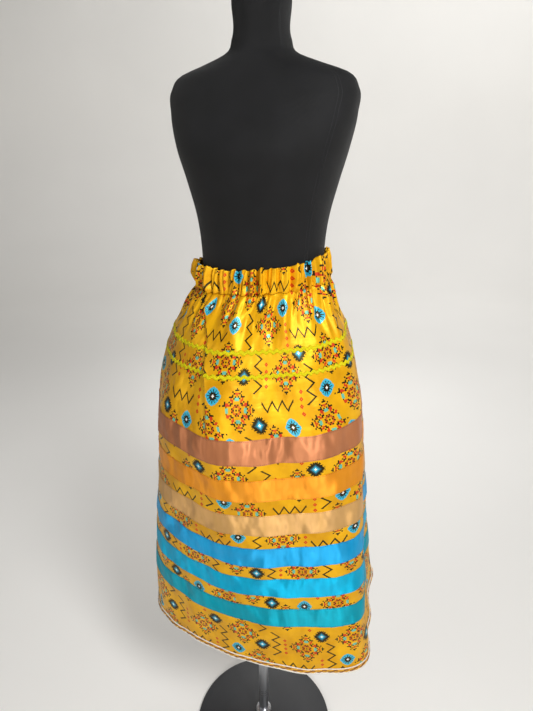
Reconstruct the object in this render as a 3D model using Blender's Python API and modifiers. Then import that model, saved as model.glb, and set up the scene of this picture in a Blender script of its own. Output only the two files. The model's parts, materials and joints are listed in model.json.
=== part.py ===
"""Ribbon skirt, worn on a limbless dress form with a steel stand.

Metres, +Z up. The origin is the centre of the stand's foot, on the floor.
The skirt's front faces -Y, and its left side as worn is at +X.
A place around the skirt is a turn in degrees: 0 in front, 90 at +X, 180 behind.
"""
import math

import bpy
import numpy as np

# Skirt lengths, measured down from the front of the waist edge
WAIST_HEIGHT = 1.3555
CASING_HEIGHT = 0.045
SKIRT_LENGTH = 0.8915
FIRST_RIBBON_DROP = 0.2825
RIBBON_PITCH = 0.0847
RIBBON_WIDTH = 0.0508
RICKRACK_DROPS = (0.138, 0.178)
RICKRACK_HEIGHT = 0.0065
HEM_BAND_HEIGHT = 0.012

# The waist edge rides up at one side and the back, by this much at half the waist's width
WAIST_RISE_SIDE = 0.014
WAIST_RISE_BACK = 0.010

# Walls and clearances
CLOTH = 0.0012
RIBBON_WALL = 0.0010
RICKRACK_WALL = 0.0012
SEAM_GAP = 0.0003
LAID_GAP = 0.0003
WAIST_CLEARANCE = 0.0004

# Gathers: each one is a peak and a valley, so two columns of the surface
GATHERS = 42
COLUMNS = 2 * GATHERS
TURN_STEP = 360.0 / COLUMNS
SEAM_COLUMN = 21.5

# Stand
POLE_RADIUS = 0.0130
FOOT_RADIUS = 0.190
FOOT_THICKNESS = 0.010
SOCKET_RADIUS = 0.021
SOCKET_HEIGHT = 0.045
NECK_CAP_THICKNESS = 0.012

# Skirt sections without folds: drop from the waist edge, half width at the sides,
# depth in front of and behind the pole, squareness (2 is an ellipse), shift towards +X
SKIRT_SECTIONS = (
    # drop, half_width, front, back, square, shift
    (0.0000, 0.1335, 0.1100, 0.1105, 2.00, 0.000),
    (0.0450, 0.1335, 0.1100, 0.1105, 2.00, 0.000),
    (0.0850, 0.1505, 0.1285, 0.1300, 2.00, -0.007),
    (0.1400, 0.1815, 0.1585, 0.1700, 1.95, -0.008),
    (0.2000, 0.2060, 0.1850, 0.1990, 1.90, -0.008),
    (0.2825, 0.2180, 0.2140, 0.2190, 2.15, -0.004),
    (0.4200, 0.2325, 0.2085, 0.2370, 2.25, -0.001),
    (0.5600, 0.2490, 0.1968, 0.2540, 2.32, -0.002),
    (0.7060, 0.2655, 0.1850, 0.2690, 2.38, -0.003),
    (0.8915, 0.2830, 0.1738, 0.2850, 2.52, 0.006),
)

# Height of the gathers' waves by drop, millimetres from the middle to a peak
GATHER_WAVES = (
    # drop, wave_mm
    (0.0000, 5.2),
    (0.0130, 6.0),
    (0.0300, 6.2),
    (0.0450, 4.8),
    (0.0850, 4.4),
    (0.1400, 2.6),
    (0.2000, 1.2),
    (0.2825, 0.0),
    (0.8915, 0.0),
)

# Large folds, one a row: turn at the waist and at the hem, width in degrees,
# and how far the cloth stands out (+) or falls in (-) at three drops, millimetres
FOLDS = (
    # turn_waist, turn_hem, width, casing_mm, ribbon_mm, hem_mm
    (-150.0, -152.0, 15.0, 3.0, 8.0, 14.0),
    (-124.0, -126.0, 13.0, 0.0, -7.0, -12.0),
    (-99.0, -102.0, 12.0, 2.0, 5.0, 6.0),
    (-54.0, -65.0, 11.0, 2.0, -6.0, 1.0),
    (-33.0, -30.0, 8.0, 2.0, 2.0, -6.0),
    (-5.0, 2.0, 12.0, 3.0, 13.5, 0.0),
    (27.5, 34.0, 13.0, 0.0, -17.0, -1.5),
    (80.0, 59.0, 12.0, 3.0, 11.0, 14.5),
    (88.0, 88.0, 14.0, 0.0, 0.0, -18.0),
    (98.0, 112.0, 13.0, 0.0, -11.0, -29.0),
    (122.0, 131.0, 13.0, 2.0, -3.0, 11.0),
    (150.0, 154.0, 13.0, 0.0, -6.0, -12.0),
    (178.0, 180.0, 13.0, 3.0, 8.0, 13.0),
)
FOLD_DROPS = (CASING_HEIGHT, FIRST_RIBBON_DROP, SKIRT_LENGTH)

# Soft folds that run down from the gathers and are gone at the first ribbon
SOFT_FOLDS = 19
SOFT_FOLD_WAVES = (
    # drop, wave_mm
    (0.0000, 0.0),
    (0.0450, 1.5),
    (0.1000, 4.0),
    (0.1700, 3.4),
    (0.2825, 0.8),
    (0.4200, 0.0),
    (0.8915, 0.0),
)

# Dress form sections: height, half width, depth in front, depth behind, squareness
FORM_SECTIONS = (
    # height, half_width, front, back, square
    (1.7850, 0.0505, 0.0505, 0.0505, 2.0),
    (1.7300, 0.0510, 0.0515, 0.0530, 2.0),
    (1.7080, 0.0640, 0.0560, 0.0600, 2.0),
    (1.6940, 0.1020, 0.0640, 0.0720, 2.0),
    (1.6780, 0.1500, 0.0720, 0.0840, 2.1),
    (1.6540, 0.1700, 0.0840, 0.0930, 2.2),
    (1.6150, 0.1700, 0.1040, 0.1010, 2.2),
    (1.5600, 0.1590, 0.1260, 0.1030, 2.1),
    (1.5050, 0.1440, 0.1190, 0.0990, 2.0),
    (1.4350, 0.1270, 0.1030, 0.0950, 2.0),
    (1.3750, 0.1212, 0.0965, 0.0945, 2.0),
    (1.3350, 0.1210, 0.0960, 0.0955, 2.0),
    (1.2850, 0.1280, 0.1000, 0.1040, 2.0),
    (1.2100, 0.1470, 0.1080, 0.1180, 2.0),
    (1.1300, 0.1580, 0.1120, 0.1240, 2.1),
    (1.0750, 0.1540, 0.1080, 0.1180, 2.1),
    (1.0600, 0.1480, 0.1020, 0.1120, 2.1),
)

# Ribbons from the top down: name, colour (linear)
RIBBONS = (
    ("ribbon_brown", (0.527, 0.195, 0.084)),
    ("ribbon_orange", (0.905, 0.352, 0.021)),
    ("ribbon_cream", (0.880, 0.570, 0.200)),
    ("ribbon_sky_blue", (0.030, 0.452, 0.850)),
    ("ribbon_turquoise", (0.009, 0.402, 0.660)),
    ("ribbon_teal", (0.009, 0.323, 0.412)),
)
SATIN_YELLOW = (0.890, 0.500, 0.020)
CHARTREUSE = (0.680, 0.660, 0.010)
EDGE_WHITE = (0.850, 0.820, 0.740)
JERSEY_BLACK = (0.012, 0.012, 0.013)
STEEL = (0.620, 0.620, 0.630)
PAINT_BLACK = (0.020, 0.020, 0.022)


def material(name, colour, roughness, metallic=0.0):
    """One Principled material."""
    made = bpy.data.materials.new(name)
    made.use_nodes = True
    shader = made.node_tree.nodes["Principled BSDF"]
    shader.inputs["Base Color"].default_value = (*colour, 1.0)
    shader.inputs["Roughness"].default_value = roughness
    shader.inputs["Metallic"].default_value = metallic
    return made


def smooth_value(x, knots, values):
    """Cubic curve through the knots, with each knot's slope taken from its neighbours."""
    knots = np.asarray(knots, float)
    values = np.asarray(values, float)
    slopes = np.gradient(values, knots)
    x = np.clip(np.asarray(x, float), knots.min(), knots.max())
    low = np.clip(np.searchsorted(knots, x) - 1, 0, len(knots) - 2)
    span = knots[low + 1] - knots[low]
    t = (x - knots[low]) / span
    start = (2 * t**3 - 3 * t**2 + 1) * values[low]
    start_slope = (t**3 - 2 * t**2 + t) * span * slopes[low]
    end = (3 * t**2 - 2 * t**3) * values[low + 1]
    end_slope = (t**3 - t**2) * span * slopes[low + 1]
    return start + start_slope + end + end_slope


def ring_points(turns, half_width, front, back, square, shift):
    """Points around a section whose front and back halves have their own depths."""
    angle = np.radians(turns)
    depth = np.where(np.cos(angle) > 0.0, front, back)
    side_part = half_width * np.sin(angle)
    front_part = depth * np.cos(angle)
    direction = np.arctan2(side_part, front_part)
    across = np.abs(np.sin(direction) / half_width) ** square
    along = np.abs(np.cos(direction) / depth) ** square
    radius = (across + along) ** (-1.0 / square)
    return shift + radius * np.sin(direction), -radius * np.cos(direction)


def table_column(table, column):
    return [row[column] for row in table]


def skirt_wave(turns, drops):
    """Distance that gathers and folds stand out from the plain section, metres."""
    uneven = 1.0 + 0.22 * np.sin(np.radians(7 * turns + 40)) + 0.14 * np.sin(np.radians(12 * turns))
    height = np.interp(drops, table_column(GATHER_WAVES, 0), table_column(GATHER_WAVES, 1))
    wave = height * (uneven * (1.0 + np.cos(np.radians(GATHERS * turns))) - 1.0)
    bend = 5.0 * np.sin(np.radians(3 * turns + 25))
    height = smooth_value(drops, table_column(SOFT_FOLD_WAVES, 0), table_column(SOFT_FOLD_WAVES, 1))
    wave = wave + height * np.cos(np.radians(SOFT_FOLDS * (turns + bend)))
    share = (drops - CASING_HEIGHT) / (SKIRT_LENGTH - CASING_HEIGHT)
    for turn_waist, turn_hem, width, casing_mm, ribbon_mm, hem_mm in FOLDS:
        centre = turn_waist + (turn_hem - turn_waist) * share
        away = (turns - centre + 180.0) % 360.0 - 180.0
        size = np.interp(drops, FOLD_DROPS, (casing_mm, ribbon_mm, hem_mm))
        wave = wave + size * np.exp(-((away / width) ** 2))
    return wave / 1000.0


def waist_rise(turns):
    """How far the waist edge lies above its front, metres."""
    angle = np.radians(turns)
    return WAIST_RISE_SIDE * np.sin(angle) + WAIST_RISE_BACK * (1.0 - np.cos(angle))


def skirt_points(turns, drops):
    """Outer face of the skirt, a row for each drop and a column for each turn."""
    turns, drops = np.meshgrid(turns, drops)
    sizes = []
    for column in range(1, 6):
        values = table_column(SKIRT_SECTIONS, column)
        sizes.append(smooth_value(drops, table_column(SKIRT_SECTIONS, 0), values))
    x, y = ring_points(turns, *sizes)
    step = 0.5
    x_next, y_next = ring_points(turns + step, *sizes)
    x_last, y_last = ring_points(turns - step, *sizes)
    along_x, along_y = x_next - x_last, y_next - y_last
    length = np.hypot(along_x, along_y)
    wave = skirt_wave(turns, drops)
    x = x + wave * along_y / length
    y = y - wave * along_x / length
    fade = np.clip(1.0 - drops / FIRST_RIBBON_DROP, 0.0, 1.0)
    z = WAIST_HEIGHT - drops + waist_rise(turns) * fade
    return np.stack([x, y, z], axis=-1)


def outward_normals(turns, drops):
    """Unit normals of the skirt's outer face, gathers left out, at the same points."""
    right = skirt_points(turns + TURN_STEP, drops)
    left = skirt_points(turns - TURN_STEP, drops)
    above = skirt_points(turns, drops - 0.006)
    below = skirt_points(turns, drops + 0.006)
    normals = np.cross(right - left, above - below)
    return normals / np.linalg.norm(normals, axis=-1, keepdims=True)


def surface_object(name, points, made_of, closed=False):
    """Open surface through rows of points that run down, its faces outwards."""
    rows, columns = points.shape[:2]
    index = np.arange(rows * columns).reshape(rows, columns)
    if closed:
        index = np.hstack([index, index[:, :1]])
    corners = (index[:-1, :-1], index[1:, :-1], index[1:, 1:], index[:-1, 1:])
    faces = np.stack(corners, axis=-1).reshape(-1, 4)
    mesh = bpy.data.meshes.new(name)
    mesh.from_pydata(points.reshape(-1, 3).tolist(), [], faces.tolist())
    mesh.shade_smooth()
    obj = bpy.data.objects.new(name, mesh)
    obj.data.materials.append(made_of)
    bpy.data.collections["ribbon_skirt"].objects.link(obj)
    return obj


def add_wall(obj, thickness, outwards=False):
    """Thickness on an open surface, towards the body unless told outwards."""
    wall = obj.modifiers.new("wall", "SOLIDIFY")
    wall.thickness = thickness
    wall.offset = 1.0 if outwards else -1.0
    wall.use_even_offset = True
    return obj


def half_turns(side):
    """Column turns of the front or the back, ending on the two side seams."""
    if side == "front":
        whole = np.arange(math.ceil(-SEAM_COLUMN), math.floor(SEAM_COLUMN) + 1)
        ends = (-SEAM_COLUMN, SEAM_COLUMN)
    else:
        whole = np.arange(math.ceil(SEAM_COLUMN), math.floor(COLUMNS - SEAM_COLUMN) + 1)
        ends = (SEAM_COLUMN, COLUMNS - SEAM_COLUMN)
    return TURN_STEP * np.concatenate([[ends[0]], whole, [ends[1]]])


def open_seams(points):
    """Draw both ends of the rows in by half the seam gap."""
    for end, inner in ((0, 1), (-1, -2)):
        towards = points[:, inner] - points[:, end]
        towards = towards / np.linalg.norm(towards, axis=-1, keepdims=True)
        points[:, end] = points[:, end] + towards * SEAM_GAP / 2
    return points


def ribbon_drops(number):
    top = FIRST_RIBBON_DROP + number * RIBBON_PITCH
    return top, top + RIBBON_WIDTH


def panel_drops():
    """Rows of a panel: the gathered part, both edges of every ribbon, and the hem."""
    first = CASING_HEIGHT + SEAM_GAP
    rows = [first, 0.068, 0.100, *RICKRACK_DROPS, 0.225]
    for number in range(len(RIBBONS)):
        rows.extend(ribbon_drops(number))
    rows.extend([SKIRT_LENGTH - HEM_BAND_HEIGHT, SKIRT_LENGTH])
    return np.array(rows)


def laid_strip(name, side, drops, wall, made_of):
    """A strip laid on a panel: the panel's own points, moved out by the laid gap."""
    turns = half_turns(side)
    normals = outward_normals(turns, drops)
    points = skirt_points(turns, drops) + normals * LAID_GAP
    return add_wall(surface_object(name, open_seams(points), made_of), wall, outwards=True)


def rickrack_strip(name, side, drop, made_of):
    """Rickrack on the gathered cloth, between the rows above and below its middle."""
    turns = half_turns(side)
    rows = panel_drops()
    middle = int(np.argmin(np.abs(rows - drop)))
    near = skirt_points(turns, rows[middle - 1:middle + 2])
    share_up = RICKRACK_HEIGHT / 2 / (rows[middle] - rows[middle - 1])
    share_down = RICKRACK_HEIGHT / 2 / (rows[middle + 1] - rows[middle])
    top = near[1] + (near[0] - near[1]) * share_up
    bottom = near[1] + (near[2] - near[1]) * share_down
    normals = outward_normals(turns, np.array([drop]))
    points = np.stack([top, bottom]) + normals * LAID_GAP * 2
    return add_wall(surface_object(name, open_seams(points), made_of), RICKRACK_WALL, outwards=True)


def make_panels(satin):
    for side in ("front", "back"):
        points = open_seams(skirt_points(half_turns(side), panel_drops()))
        add_wall(surface_object("skirt_" + side, points, satin), CLOTH)


def make_ribbons():
    for number, (name, colour) in enumerate(RIBBONS):
        made_of = material(name, colour, 0.32)
        for side in ("front", "back"):
            drops = np.array(ribbon_drops(number))
            laid_strip(name + "_" + side, side, drops, RIBBON_WALL, made_of)


def make_trims():
    rickrack = material("rickrack", CHARTREUSE, 0.55)
    edge = material("hem_edge", EDGE_WHITE, 0.60)
    for side in ("front", "back"):
        for number, drop in enumerate(RICKRACK_DROPS, start=1):
            rickrack_strip("rickrack_%d_%s" % (number, side), side, drop, rickrack)
        drops = np.array([SKIRT_LENGTH - HEM_BAND_HEIGHT, SKIRT_LENGTH])
        laid_strip("hem_band_" + side, side, drops, RIBBON_WALL, edge)


def form_points(turns, heights):
    """Points of the dress form, a row for each height."""
    turns, heights = np.meshgrid(turns, heights)
    knots = table_column(FORM_SECTIONS, 0)[::-1]
    sizes = []
    for column in range(1, 5):
        sizes.append(np.interp(heights, knots, table_column(FORM_SECTIONS, column)[::-1]))
    x, y = ring_points(turns, *sizes, 0.0)
    return np.stack([x, y, heights], axis=-1)


def make_casing(satin):
    """Waist casing: its gathers' valleys lie on the form, and its peaks puff out."""
    turns = TURN_STEP * np.arange(COLUMNS)
    drops = np.array([0.0, 0.012, 0.030, CASING_HEIGHT])
    rows = []
    for drop in drops:
        heights = WAIST_HEIGHT - drop + waist_rise(turns) * (1.0 - drop / FIRST_RIBBON_DROP)
        size = np.interp(drop, table_column(GATHER_WAVES, 0), table_column(GATHER_WAVES, 1)) / 1000
        uneven = 1.0 + 0.22 * np.sin(np.radians(7 * turns + 40))
        out = WAIST_CLEARANCE + size * uneven * (1.0 + np.cos(np.radians(GATHERS * turns)))
        ring = np.stack([form_points([turn], [height])[0, 0] for turn, height in zip(turns, heights)])
        away = ring * (1.0, 1.0, 0.0)
        rows.append(ring + out[:, None] * away / np.linalg.norm(away, axis=-1, keepdims=True))
    return add_wall(surface_object("waist_casing", np.stack(rows), satin, closed=True), CLOTH, outwards=True)


def close_ends(obj):
    """Flat faces over the first and last rows of a closed surface."""
    mesh = obj.data
    count = COLUMNS // 2
    last = len(mesh.vertices) - count
    top = list(range(count))
    bottom = list(range(last, last + count))[::-1]
    points = [tuple(vertex.co) for vertex in mesh.vertices]
    faces = [tuple(face.vertices) for face in mesh.polygons]
    mesh.clear_geometry()
    mesh.from_pydata(points, [], faces + [top, bottom])


def make_form(jersey):
    """Torso and neck in one, with a column of points under every valley of the casing."""
    turns = TURN_STEP * (2 * np.arange(COLUMNS // 2) + 1)
    heights = np.array(table_column(FORM_SECTIONS, 0))
    torso = surface_object("form_torso", form_points(turns, heights), jersey, closed=True)
    close_ends(torso)
    neck = FORM_SECTIONS[0]
    cap = turned("form_neck_cap", jersey, (
        (0.0, neck[0] + SEAM_GAP + NECK_CAP_THICKNESS),
        (neck[1] * 0.72, neck[0] + SEAM_GAP + NECK_CAP_THICKNESS * 0.86),
        (neck[1] * 0.95, neck[0] + SEAM_GAP + NECK_CAP_THICKNESS * 0.45),
        (neck[1], neck[0] + SEAM_GAP + 0.001),
        (neck[1], neck[0] + SEAM_GAP),
        (0.0, neck[0] + SEAM_GAP),
    ))
    return torso, cap


def turned(name, made_of, profile, steps=36):
    """A turned shape: (radius, height) points down the outer side, carried once around Z."""
    closed = profile[0][0] > 0.0
    mesh = bpy.data.meshes.new(name)
    count = len(profile)
    edges = [(i, i + 1) for i in range(count - 1)]
    if closed:
        edges.append((count - 1, 0))
    mesh.from_pydata([(radius, 0.0, height) for radius, height in profile], edges, [])
    obj = bpy.data.objects.new(name, mesh)
    obj.data.materials.append(made_of)
    bpy.data.collections["ribbon_skirt"].objects.link(obj)
    screw = obj.modifiers.new("turn", "SCREW")
    screw.steps = steps
    screw.render_steps = steps
    screw.use_merge_vertices = True
    screw.merge_threshold = 0.00005
    return obj


def make_stand(steel, paint):
    """Foot plate, socket ring and pole, one over the other on the axis."""
    foot = turned("stand_foot", paint, (
        (0.0, FOOT_THICKNESS),
        (FOOT_RADIUS - 0.004, FOOT_THICKNESS),
        (FOOT_RADIUS, FOOT_THICKNESS - 0.004),
        (FOOT_RADIUS, 0.0),
        (0.0, 0.0),
    ), steps=48)
    bore = POLE_RADIUS + LAID_GAP
    low = FOOT_THICKNESS + LAID_GAP
    socket = turned("stand_socket", steel, (
        (bore, low + SOCKET_HEIGHT),
        (SOCKET_RADIUS - 0.003, low + SOCKET_HEIGHT),
        (SOCKET_RADIUS, low + SOCKET_HEIGHT - 0.003),
        (SOCKET_RADIUS, low),
        (bore, low),
    ))
    bottom = low
    top = FORM_SECTIONS[-1][0] - LAID_GAP
    bpy.ops.mesh.primitive_cylinder_add(
        vertices=32, radius=POLE_RADIUS, depth=top - bottom, location=(0.0, 0.0, (top + bottom) / 2))
    pole = bpy.context.object
    pole.name = "stand_pole"
    pole.data.materials.append(steel)
    for holder in list(pole.users_collection):
        holder.objects.unlink(pole)
    bpy.data.collections["ribbon_skirt"].objects.link(pole)
    return foot, socket, pole


def main():
    for obj in list(bpy.data.objects):
        bpy.data.objects.remove(obj)
    skirt = bpy.data.collections.new("ribbon_skirt")
    bpy.context.scene.collection.children.link(skirt)
    satin = material("printed_satin", SATIN_YELLOW, 0.42)
    jersey = material("jersey", JERSEY_BLACK, 0.75)
    steel = material("brushed_steel", STEEL, 0.32, 1.0)
    paint = material("black_paint", PAINT_BLACK, 0.45)
    make_panels(satin)
    make_casing(satin)
    make_ribbons()
    make_trims()
    make_form(jersey)
    make_stand(steel, paint)


main()
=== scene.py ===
"""Ribbon skirt on a limbless dress form: the finished cloth, trims, stand and stage.

Metres, +Z up, the origin under the pole on the floor, the skirt's front towards -Y.
A place around the skirt is a turn in degrees: 0 in front, 90 at +X, 180 behind.
A place down the skirt is a drop in metres from the front of the waist edge.
"""

import json
import math

import bpy
import numpy as np
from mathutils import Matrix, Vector

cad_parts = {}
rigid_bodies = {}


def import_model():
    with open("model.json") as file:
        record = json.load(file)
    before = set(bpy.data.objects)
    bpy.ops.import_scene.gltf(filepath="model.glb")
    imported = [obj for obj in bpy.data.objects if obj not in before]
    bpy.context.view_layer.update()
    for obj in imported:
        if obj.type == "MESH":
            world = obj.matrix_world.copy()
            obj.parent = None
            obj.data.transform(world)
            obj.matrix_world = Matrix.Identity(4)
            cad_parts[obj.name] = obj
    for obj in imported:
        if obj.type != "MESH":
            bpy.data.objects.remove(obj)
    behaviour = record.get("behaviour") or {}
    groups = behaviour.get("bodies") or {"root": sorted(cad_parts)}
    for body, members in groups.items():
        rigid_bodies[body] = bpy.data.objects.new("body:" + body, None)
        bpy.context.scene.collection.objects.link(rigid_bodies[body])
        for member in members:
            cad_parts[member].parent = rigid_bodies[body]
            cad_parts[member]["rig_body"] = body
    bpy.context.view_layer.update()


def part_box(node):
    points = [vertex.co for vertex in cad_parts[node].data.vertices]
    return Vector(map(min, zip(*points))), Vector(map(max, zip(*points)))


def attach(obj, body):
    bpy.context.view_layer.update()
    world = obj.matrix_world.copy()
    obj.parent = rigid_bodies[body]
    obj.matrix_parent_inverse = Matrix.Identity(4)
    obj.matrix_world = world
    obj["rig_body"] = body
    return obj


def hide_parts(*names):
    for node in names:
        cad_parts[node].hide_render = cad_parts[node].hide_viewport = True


bl_info = {
    "name": "Ribbon Skirt",
    "version": (1, 0, 0),
    "blender": (4, 5, 0),
    "location": "3D View > Sidebar > Ribbon Skirt",
    "description": "Dresses a ribbon skirt and its dress form over their packed solids",
    "category": "Object",
}

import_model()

# Each ribbon's darker and lighter satin, mixed in upright streaks whose lighter part is partly painted
# sheen, and its sewing thread
RIBBON_COLOURS = {
    "brown": ("#BC774E", "#CE8659", "#7A4326"),
    "orange": ("#EE961F", "#FDA62C", "#A8630C"),
    "cream": ("#D6A663", "#E6B473", "#A97C40"),
    "sky_blue": ("#16A2DC", "#2CB4EE", "#0A5A96"),
    "turquoise": ("#00ACD6", "#00BEE8", "#04657E"),
    "teal": ("#009EB4", "#00B2CA", "#03565C"),
}
RIBBON_NAMES = tuple(RIBBON_COLOURS)
HEM_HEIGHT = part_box("skirt_front")[0][2]
POLE_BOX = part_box("stand_pole")
FOOT_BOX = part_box("stand_foot")
SOCKET_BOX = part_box("stand_socket")
CAP_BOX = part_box("form_neck_cap")
WAIST_HEIGHT = 1.3555
SKIRT_LENGTH = WAIST_HEIGHT - HEM_HEIGHT
FIRST_RIBBON_DROP = 0.2825
RIBBON_PITCH = 0.0847
RIBBON_WIDTH = 0.0508

GATHERS = 42
SIDE_SEAM = 21.5 * 360.0 / (2 * GATHERS)
SEWN_LINE = 0.048

# Small shapes of the cloth, in metres unless the name or the comment says otherwise
CREASES = 16
CLOTH_ROUND_MM = 1500.0
CREASES_BEGIN = (0.050, 0.130)
PUCKER_MM, PUCKER_REACH = 0.34, 0.009
SEWN_INSIDE = 0.0015
PINCH_MM, PINCH_DROP, PINCH_REACH = 2.4, 0.0455, 0.003
SWAY = 0.0010
SCALLOP, SCALLOP_REACH = 0.0032, 0.014
RISE_LEFT, RISE_BEHIND = 0.012, 0.008
# Tucks: their width in gathers, the drop they slant about, and where they end on the panels
TUCK_WIDTH, TUCK_MIDDLE = 0.085, 0.022
TUCK_SHARE, TUCK_ENDS = 0.7, (0.085, 0.055)
# The pleat's edge and its reach ahead and behind, in degrees, and how hollow it is behind
PLEAT_EDGE, PLEAT_AHEAD, PLEAT_BEHIND, PLEAT_HOLLOW = 0.45, 9.0, 7.0, 0.45
# The casing's ease and least distance off the form, its fine ripple and its wavy upper edge
CASING_EASE, CASING_LEAST, RIPPLE = 0.0018, 0.0012, 0.0010
TOP_EDGE, TOP_EDGE_REACH = 0.0075, 0.008

# Skirt sections without folds, as in the solids
SKIRT_SECTIONS = (
    # drop, half_width, front, back, square, shift
    (0.0000, 0.1335, 0.1100, 0.1105, 2.00, 0.000),
    (0.0450, 0.1335, 0.1100, 0.1105, 2.00, 0.000),
    (0.0850, 0.1505, 0.1285, 0.1300, 2.00, -0.007),
    (0.1400, 0.1815, 0.1585, 0.1700, 1.95, -0.008),
    (0.2000, 0.2060, 0.1850, 0.1990, 1.90, -0.008),
    (0.2825, 0.2180, 0.2140, 0.2190, 2.15, -0.004),
    (0.4200, 0.2325, 0.2085, 0.2370, 2.25, -0.001),
    (0.5600, 0.2490, 0.1968, 0.2540, 2.32, -0.002),
    (0.7060, 0.2655, 0.1850, 0.2690, 2.38, -0.003),
    (0.8915, 0.2830, 0.1738, 0.2850, 2.52, 0.006),
)

# Gathers by drop: half the height of a wave, and how tight its valleys are (2 is a plain wave)
GATHER_WAVES = (
    # drop, wave_mm, roundness
    (0.0000, 5.4, 1.10),
    (0.0100, 7.6, 0.90),
    (0.0260, 8.6, 0.85),
    (0.0370, 8.0, 0.85),
    (0.0430, 3.4, 1.10),
    (0.0480, 3.0, 1.20),
    (0.0560, 5.2, 1.40),
    (0.0700, 3.4, 1.60),
    (0.0880, 1.2, 1.90),
    (0.1050, 0.0, 2.00),
    (0.9000, 0.0, 2.00),
)

# Large folds: where they stand at the waist and the hem, and how far out (+) or in (-)
FOLDS = (
    # turn_waist, turn_hem, width, casing_mm, ribbon_mm, hem_mm
    (-150.0, -152.0, 15.0, 3.0, 8.0, 14.0),
    (-124.0, -126.0, 13.0, 0.0, -7.0, -12.0),
    (-99.0, -102.0, 12.0, 2.0, 5.0, 6.0),
    (-54.0, -65.0, 11.0, 2.0, -6.0, 1.0),
    (-33.0, -30.0, 8.0, 2.0, 2.0, -6.0),
    (-5.0, 2.0, 12.0, 3.0, 13.5, 0.0),
    (27.5, 34.0, 13.0, 0.0, -17.0, -1.5),
    (80.0, 59.0, 12.0, 3.0, 11.0, 14.5),
    (88.0, 88.0, 14.0, 0.0, 0.0, -18.0),
    (98.0, 112.0, 13.0, 0.0, -11.0, -29.0),
    (122.0, 131.0, 13.0, 2.0, -3.0, 11.0),
    (150.0, 154.0, 13.0, 0.0, -6.0, -12.0),
    (178.0, 180.0, 13.0, 3.0, 8.0, 13.0),
)
FOLD_DROPS = (0.045, FIRST_RIBBON_DROP, SKIRT_LENGTH)

# Soft folds that fall from the gathers, all round, each from its top to its end
LOOSE_FOLDS = (
    # turn, width, top, end, size_mm
    (-172.0, 4.5, 0.050, 0.120, 5.0),
    (-161.0, 3.0, 0.046, 0.140, -4.5),
    (-148.0, 5.0, 0.050, 0.170, 5.0),
    (-136.0, 2.5, 0.046, 0.110, -5.0),
    (-124.0, 4.0, 0.050, 0.140, 4.5),
    (-112.0, 3.0, 0.046, 0.160, -4.5),
    (-98.0, 5.0, 0.050, 0.130, 5.0),
    (-84.0, 3.0, 0.046, 0.150, -4.0),
    (-70.0, 4.0, 0.050, 0.120, 4.5),
    (-57.0, 3.0, 0.046, 0.160, -4.5),
    (-47.0, 3.5, 0.050, 0.130, 4.0),
    (-36.0, 3.0, 0.046, 0.120, -4.5),
    (-27.0, 4.0, 0.048, 0.150, 4.5),
    (-15.0, 3.0, 0.048, 0.170, -4.0),
    (-6.0, 2.5, 0.046, 0.130, -3.0),
    (1.0, 4.5, 0.050, 0.140, 4.0),
    (9.5, 3.0, 0.056, 0.150, -5.5),
    (15.0, 1.8, 0.045, 0.105, -5.0),
    (21.0, 4.5, 0.046, 0.110, 6.5),
    (27.0, 2.2, 0.046, 0.140, -5.5),
    (35.0, 4.5, 0.050, 0.150, 4.0),
    (45.0, 3.0, 0.046, 0.110, -4.5),
    (56.0, 5.0, 0.050, 0.170, 5.0),
    (66.0, 3.0, 0.048, 0.130, -4.0),
    (75.0, 4.0, 0.050, 0.160, 4.5),
    (93.0, 3.0, 0.046, 0.130, -4.5),
    (104.0, 5.0, 0.050, 0.160, 5.0),
    (118.0, 3.0, 0.046, 0.110, -5.0),
    (131.0, 4.5, 0.050, 0.170, 4.5),
    (143.0, 2.5, 0.046, 0.120, -5.0),
    (156.0, 5.0, 0.050, 0.130, 5.5),
    (169.0, 3.0, 0.046, 0.160, -4.0),
)

# Where the casing stands off the form more or less than elsewhere
CASING_STANDS_OFF = (
    # turn, width, size_mm
    (-74.0, 16.0, 5.5),
    (-20.0, 9.0, 1.5),
    (38.0, 8.0, 2.0),
    (104.0, 16.0, -3.0),
    (170.0, 14.0, 2.0),
)

# The one sharp pleat at the front: its line down the skirt and how far it steps out
PLEAT = (
    # drop, turn, step_mm
    (0.0450, -36.0, 0.5),
    (0.0800, -25.0, 4.0),
    (0.1200, -15.7, 7.0),
    (0.1600, -12.4, 7.5),
    (0.2000, -8.7, 7.5),
    (0.2400, -6.5, 6.0),
    (0.2825, -5.5, 2.4),
    (0.3400, -6.9, 0.8),
    (0.4200, -8.9, 0.0),
    (0.9000, -17.0, 0.0),
)
PLEAT_TAKE_UP = 0.016

# How wide a panel is cut at its top, as a share of its hem
CUT_TOP_SHARE = 0.87

# Dress form sections, as in the solids
FORM_SECTIONS = (
    # height, half_width, front, back, square
    (1.0600, 0.1480, 0.1020, 0.1120, 2.1),
    (1.0750, 0.1540, 0.1080, 0.1180, 2.1),
    (1.1300, 0.1580, 0.1120, 0.1240, 2.1),
    (1.2100, 0.1470, 0.1080, 0.1180, 2.0),
    (1.2850, 0.1280, 0.1000, 0.1040, 2.0),
    (1.3350, 0.1210, 0.0960, 0.0955, 2.0),
    (1.3750, 0.1212, 0.0965, 0.0945, 2.0),
    (1.4350, 0.1270, 0.1030, 0.0950, 2.0),
    (1.5050, 0.1440, 0.1190, 0.0990, 2.0),
    (1.5600, 0.1590, 0.1260, 0.1030, 2.1),
    (1.6150, 0.1700, 0.1040, 0.1010, 2.2),
    (1.6540, 0.1700, 0.0840, 0.0930, 2.2),
    (1.6780, 0.1500, 0.0720, 0.0840, 2.1),
    (1.6940, 0.1020, 0.0640, 0.0720, 2.0),
    (1.7080, 0.0640, 0.0560, 0.0600, 2.0),
    (1.7300, 0.0510, 0.0515, 0.0530, 2.0),
    (1.7850, 0.0505, 0.0505, 0.0505, 2.0),
)

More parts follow.
